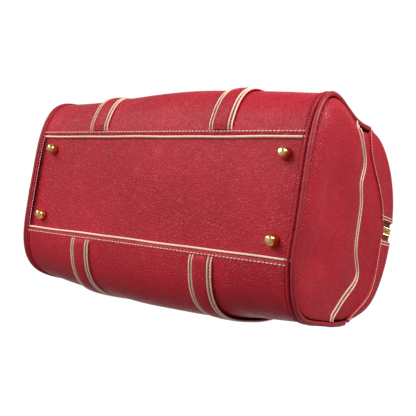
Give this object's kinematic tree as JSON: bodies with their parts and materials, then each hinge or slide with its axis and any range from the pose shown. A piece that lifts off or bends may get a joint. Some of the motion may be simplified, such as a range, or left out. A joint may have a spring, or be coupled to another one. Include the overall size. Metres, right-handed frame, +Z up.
{
  "type": "doctor bag",
  "caption": "Doctor bag in red leather with a flat studded base, piped ends, a zip mouth on two hinged bows and two rolled handles on rings.",
  "frame": {"origin": "on the ground under the middle of the base, where the four studs stand", "axes": "+X along the bag, +Y towards its back, +Z up"},
  "size_m": [0.3764, 0.24, 0.3379],
  "materials": {
    "red_leather": "pebbled semi-gloss red leather",
    "dark_leather": "red leather welt and trim, smoother and a little darker",
    "cream_edge": "cream raw leather edge",
    "cream_thread": "waxed cream thread",
    "brass": "polished light brass",
    "steel": "plain frame steel",
    "base_board": "fibre board",
    "lining_cloth": "twill lining",
    "zip_tape": "woven zip tape"
  },
  "bodies": {
    "root": {"base_panel": "red_leather", "front_panel": "red_leather", "back_panel": "red_leather", "end_panel_left": "red_leather", "end_panel_right": "red_leather", "end_band_left": "red_leather", "end_band_right": "red_leather", "top_panel_front": "red_leather", "top_panel_back": "red_leather", "strap_front_left": "red_leather", "strap_front_right": "red_leather", "strap_back_left": "red_leather", "strap_back_right": "red_leather", "keeper_front_left": "red_leather", "keeper_front_right": "red_leather", "keeper_back_left": "red_leather", "keeper_back_right": "red_leather", "piping_left": "dark_leather", "piping_right": "dark_leather", "end_trim_left": "dark_leather", "end_trim_right": "dark_leather", "foot_front_left": "brass", "foot_front_right": "brass", "foot_back_left": "brass", "foot_back_right": "brass", "zip_end_teeth_left": "brass", "zip_end_teeth_right": "brass", "foot_front_left_washer": "steel", "foot_front_right_washer": "steel", "foot_back_left_washer": "steel", "foot_back_right_washer": "steel", "frame_rivet_left": "steel", "frame_rivet_right": "steel", "base_board": "base_board", "lining": "lining_cloth", "inner_pocket": "lining_cloth", "zip_end_tape_front_left": "zip_tape", "zip_end_tape_front_right": "zip_tape", "zip_end_tape_back_left": "zip_tape", "zip_end_tape_back_right": "zip_tape"},
    "mouth_front": {"bow_front": "steel", "zip_tape_front": "zip_tape", "zip_teeth_front": "brass"},
    "mouth_back": {"bow_back": "steel", "zip_tape_back": "zip_tape", "zip_teeth_back": "brass"},
    "slider": {"zip_slider": "brass"},
    "pull": {"zip_pull": "brass"},
    "grip_front": {"handle_front": "red_leather", "ring_front_left": "brass", "ring_front_right": "brass", "chape_front_left": "red_leather", "chape_front_right": "red_leather"},
    "grip_back": {"handle_back": "red_leather", "ring_back_left": "brass", "ring_back_right": "brass", "chape_back_left": "red_leather", "chape_back_right": "red_leather"}
  },
  "joints": [
    {"name": "mouth_front_hinge", "type": "hinge", "parent": "root", "child": "mouth_front", "pos_m": [0, 0, 0.166], "axis": [1, 0, 0], "range_deg": [0, 50], "deforming": ["top_panel_front"]},
    {"name": "mouth_back_hinge", "type": "hinge", "parent": "root", "child": "mouth_back", "pos_m": [0, 0, 0.166], "axis": [-1, 0, 0], "range_deg": [0, 50], "deforming": ["top_panel_back"]},
    {"name": "slider_travel", "type": "slide", "parent": "mouth_front", "child": "slider", "axis": [1, 0, 0], "range_m": [0, 0.28]},
    {"name": "pull_turn", "type": "hinge", "parent": "slider", "child": "pull", "pos_m": [-0.14, 0, 0.26265], "axis": [0, -1, 0], "range_deg": [0, 170]},
    {"name": "handle_front_swing", "type": "hinge", "parent": "root", "child": "grip_front", "pos_m": [0, -0.11028, 0.171], "axis": [1, 0, 0], "range_deg": [0, 165]},
    {"name": "handle_back_swing", "type": "hinge", "parent": "root", "child": "grip_back", "pos_m": [0, 0.11028, 0.171], "axis": [-1, 0, 0], "range_deg": [0, 165]}
  ]
}
